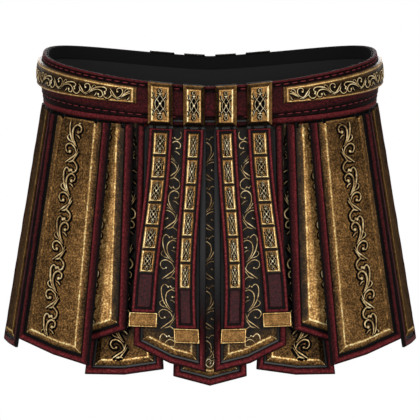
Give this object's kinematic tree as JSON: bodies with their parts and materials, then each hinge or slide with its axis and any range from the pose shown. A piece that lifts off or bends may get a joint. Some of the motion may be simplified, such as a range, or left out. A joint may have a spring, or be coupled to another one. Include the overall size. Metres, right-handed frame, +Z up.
{
  "type": "waist armour",
  "caption": "Leather waist armour: an oval belt ring with brass keepers and hip plaques, hung with hinged stiff leather flaps and straps that carry bevelled brass plates.",
  "frame": {"origin": "middle of the waist opening, at half the belt's height at the hips", "axes": "+Z up out of the waist opening, +X towards the wearer's left hip, the front faces -Y"},
  "size_m": [0.4802, 0.37, 0.3625],
  "materials": {
    "red_leather": "dyed and waxed, fine grain",
    "dark_leather": "matt black",
    "worn_brass": "hammered, aged, bright on worn edges",
    "black_patina_brass": "black patina with rubbed brass relief",
    "staple_wire": "drawn wire"
  },
  "bodies": {
    "belt": {"belt_band": "red_leather", "belt_lining": "dark_leather", "flap_yoke": "dark_leather", "belt_welt": "red_leather", "hip_plaques": "worn_brass", "front_keepers": "worn_brass", "rear_keepers": "worn_brass", "hanger_staples": "staple_wire"},
    "front_centre_flap": {"front_centre_flap_leather": "red_leather", "front_centre_flap_plate": "black_patina_brass"},
    "rear_centre_flap": {"rear_centre_flap_leather": "red_leather", "rear_centre_flap_plate": "black_patina_brass"},
    "front_left_apron": {"front_left_apron_leather": "red_leather", "front_left_apron_plate": "black_patina_brass"},
    "front_left_under": {"front_left_under_leather": "red_leather", "front_left_under_plate": "worn_brass"},
    "front_left_quarter": {"front_left_quarter_leather": "red_leather", "front_left_quarter_plate": "worn_brass"},
    "front_left_hip": {"front_left_hip_leather": "red_leather", "front_left_hip_plate": "worn_brass"},
    "front_left_side": {"front_left_side_leather": "red_leather", "front_left_side_plate": "worn_brass"},
    "front_right_apron": {"front_right_apron_leather": "red_leather", "front_right_apron_plate": "black_patina_brass"},
    "front_right_under": {"front_right_under_leather": "red_leather", "front_right_under_plate": "worn_brass"},
    "front_right_quarter": {"front_right_quarter_leather": "red_leather", "front_right_quarter_plate": "worn_brass"},
    "front_right_hip": {"front_right_hip_leather": "red_leather", "front_right_hip_plate": "worn_brass"},
    "front_right_side": {"front_right_side_leather": "red_leather", "front_right_side_plate": "worn_brass"},
    "rear_left_apron": {"rear_left_apron_leather": "red_leather", "rear_left_apron_plate": "black_patina_brass"},
    "rear_left_under": {"rear_left_under_leather": "red_leather", "rear_left_under_plate": "worn_brass"},
    "rear_left_quarter": {"rear_left_quarter_leather": "red_leather", "rear_left_quarter_plate": "worn_brass"},
    "rear_left_hip": {"rear_left_hip_leather": "red_leather", "rear_left_hip_plate": "worn_brass"},
    "rear_left_side": {"rear_left_side_leather": "red_leather", "rear_left_side_plate": "worn_brass"},
    "rear_right_apron": {"rear_right_apron_leather": "red_leather", "rear_right_apron_plate": "black_patina_brass"},
    "rear_right_under": {"rear_right_under_leather": "red_leather", "rear_right_under_plate": "worn_brass"},
    "rear_right_quarter": {"rear_right_quarter_leather": "red_leather", "rear_right_quarter_plate": "worn_brass"},
    "rear_right_hip": {"rear_right_hip_leather": "red_leather", "rear_right_hip_plate": "worn_brass"},
    "rear_right_side": {"rear_right_side_leather": "red_leather", "rear_right_side_plate": "worn_brass"},
    "left_inner_strap": {"left_inner_strap": "red_leather", "left_inner_mounts": "worn_brass"},
    "left_outer_strap": {"left_outer_strap": "red_leather", "left_outer_mounts": "worn_brass"},
    "right_inner_strap": {"right_inner_strap": "red_leather", "right_inner_mounts": "worn_brass"},
    "right_outer_strap": {"right_outer_strap": "red_leather", "right_outer_mounts": "worn_brass"}
  },
  "joints": [
    {"name": "front_centre_flap_hinge", "type": "hinge", "parent": "belt", "child": "front_centre_flap", "pos_m": [0, -0.1248, -0.0447], "axis": [-1, 0, 0], "range_deg": [-10, 0]},
    {"name": "rear_centre_flap_hinge", "type": "hinge", "parent": "belt", "child": "rear_centre_flap", "pos_m": [0, 0.1248, -0.0447], "axis": [1, 0, 0], "range_deg": [-10, 0]},
    {"name": "front_left_apron_hinge", "type": "hinge", "parent": "belt", "child": "front_left_apron", "pos_m": [-0.04312, -0.13056, -0.04398], "axis": [-0.9979, 0.0593, 0.027], "range_deg": [0, 40]},
    {"name": "front_left_under_hinge", "type": "hinge", "parent": "belt", "child": "front_left_under", "pos_m": [-0.0878, -0.11789, -0.04213], "axis": [-0.9741, 0.2213, 0.0457], "range_deg": [-10, 0]},
    {"name": "front_left_quarter_hinge", "type": "hinge", "parent": "belt", "child": "front_left_quarter", "pos_m": [-0.11234, -0.11762, -0.04085], "axis": [-0.9159, 0.3982, 0.0514], "range_deg": [0, 40]},
    {"name": "front_left_hip_hinge", "type": "hinge", "parent": "belt", "child": "front_left_hip", "pos_m": [-0.14703, -0.10663, -0.03549], "axis": [-0.7899, 0.6112, 0.0502], "range_deg": [0, 40]},
    {"name": "front_left_side_hinge", "type": "hinge", "parent": "belt", "child": "front_left_side", "pos_m": [-0.18594, -0.03967, -0.03265], "axis": [-0.1469, 0.9891, 0.0141], "range_deg": [0, 40]},
    {"name": "front_right_apron_hinge", "type": "hinge", "parent": "belt", "child": "front_right_apron", "pos_m": [0.04312, -0.13056, -0.04398], "axis": [-0.9979, -0.0593, -0.027], "range_deg": [0, 40]},
    {"name": "front_right_under_hinge", "type": "hinge", "parent": "belt", "child": "front_right_under", "pos_m": [0.0878, -0.11789, -0.04213], "axis": [-0.9741, -0.2213, -0.0457], "range_deg": [-10, 0]},
    {"name": "front_right_quarter_hinge", "type": "hinge", "parent": "belt", "child": "front_right_quarter", "pos_m": [0.11234, -0.11762, -0.04085], "axis": [-0.9159, -0.3982, -0.0514], "range_deg": [0, 40]},
    {"name": "front_right_hip_hinge", "type": "hinge", "parent": "belt", "child": "front_right_hip", "pos_m": [0.14703, -0.10663, -0.03549], "axis": [-0.7899, -0.6112, -0.0502], "range_deg": [0, 40]},
    {"name": "front_right_side_hinge", "type": "hinge", "parent": "belt", "child": "front_right_side", "pos_m": [0.18594, -0.03967, -0.03265], "axis": [-0.1469, -0.9891, -0.0141], "range_deg": [0, 40]},
    {"name": "rear_left_apron_hinge", "type": "hinge", "parent": "belt", "child": "rear_left_apron", "pos_m": [-0.04312, 0.13056, -0.04398], "axis": [0.9979, 0.0593, -0.027], "range_deg": [0, 40]},
    {"name": "rear_left_under_hinge", "type": "hinge", "parent": "belt", "child": "rear_left_under", "pos_m": [-0.0878, 0.11789, -0.04213], "axis": [0.9741, 0.2213, -0.0457], "range_deg": [-10, 0]},
    {"name": "rear_left_quarter_hinge", "type": "hinge", "parent": "belt", "child": "rear_left_quarter", "pos_m": [-0.11234, 0.11762, -0.04085], "axis": [0.9159, 0.3982, -0.0514], "range_deg": [0, 40]},
    {"name": "rear_left_hip_hinge", "type": "hinge", "parent": "belt", "child": "rear_left_hip", "pos_m": [-0.14703, 0.10663, -0.03549], "axis": [0.7899, 0.6112, -0.0502], "range_deg": [0, 40]},
    {"name": "rear_left_side_hinge", "type": "hinge", "parent": "belt", "child": "rear_left_side", "pos_m": [-0.18594, 0.03967, -0.03265], "axis": [0.1469, 0.9891, -0.0141], "range_deg": [0, 40]},
    {"name": "rear_right_apron_hinge", "type": "hinge", "parent": "belt", "child": "rear_right_apron", "pos_m": [0.04312, 0.13056, -0.04398], "axis": [0.9979, -0.0593, 0.027], "range_deg": [0, 40]},
    {"name": "rear_right_under_hinge", "type": "hinge", "parent": "belt", "child": "rear_right_under", "pos_m": [0.0878, 0.11789, -0.04213], "axis": [0.9741, -0.2213, 0.0457], "range_deg": [-10, 0]},
    {"name": "rear_right_quarter_hinge", "type": "hinge", "parent": "belt", "child": "rear_right_quarter", "pos_m": [0.11234, 0.11762, -0.04085], "axis": [0.9159, -0.3982, 0.0514], "range_deg": [0, 40]},
    {"name": "rear_right_hip_hinge", "type": "hinge", "parent": "belt", "child": "rear_right_hip", "pos_m": [0.14703, 0.10663, -0.03549], "axis": [0.7899, -0.6112, 0.0502], "range_deg": [0, 40]},
    {"name": "rear_right_side_hinge", "type": "hinge", "parent": "belt", "child": "rear_right_side", "pos_m": [0.18594, 0.03967, -0.03265], "axis": [0.1469, -0.9891, 0.0141], "range_deg": [0, 40]},
    {"name": "left_inner_strap_hinge", "type": "hinge", "parent": "belt", "child": "left_inner_strap", "pos_m": [-0.0181, -0.13801, -0.04114], "axis": [-0.9979, 0.0593, 0.027], "range_deg": [0, 40]},
    {"name": "left_outer_strap_hinge", "type": "hinge", "parent": "belt", "child": "left_outer_strap", "pos_m": [-0.05558, -0.13625, -0.0402], "axis": [-0.9979, 0.0593, 0.027], "range_deg": [0, 40]},
    {"name": "right_inner_strap_hinge", "type": "hinge", "parent": "belt", "child": "right_inner_strap", "pos_m": [0.0181, -0.13801, -0.04114], "axis": [-0.9979, -0.0593, -0.027], "range_deg": [0, 40]},
    {"name": "right_outer_strap_hinge", "type": "hinge", "parent": "belt", "child": "right_outer_strap", "pos_m": [0.05558, -0.13625, -0.0402], "axis": [-0.9979, -0.0593, -0.027], "range_deg": [0, 40]}
  ],
  "couplings": [
    {"joint": "front_left_quarter_hinge", "follows": "front_left_hip_hinge", "ratio": 1},
    {"joint": "front_right_quarter_hinge", "follows": "front_right_hip_hinge", "ratio": 1},
    {"joint": "rear_left_quarter_hinge", "follows": "rear_left_hip_hinge", "ratio": 1},
    {"joint": "rear_right_quarter_hinge", "follows": "rear_right_hip_hinge", "ratio": 1},
    {"joint": "left_inner_strap_hinge", "follows": "front_left_apron_hinge", "ratio": 1},
    {"joint": "left_outer_strap_hinge", "follows": "front_left_apron_hinge", "ratio": 1},
    {"joint": "right_inner_strap_hinge", "follows": "front_right_apron_hinge", "ratio": 1},
    {"joint": "right_outer_strap_hinge", "follows": "front_right_apron_hinge", "ratio": 1}
  ]
}
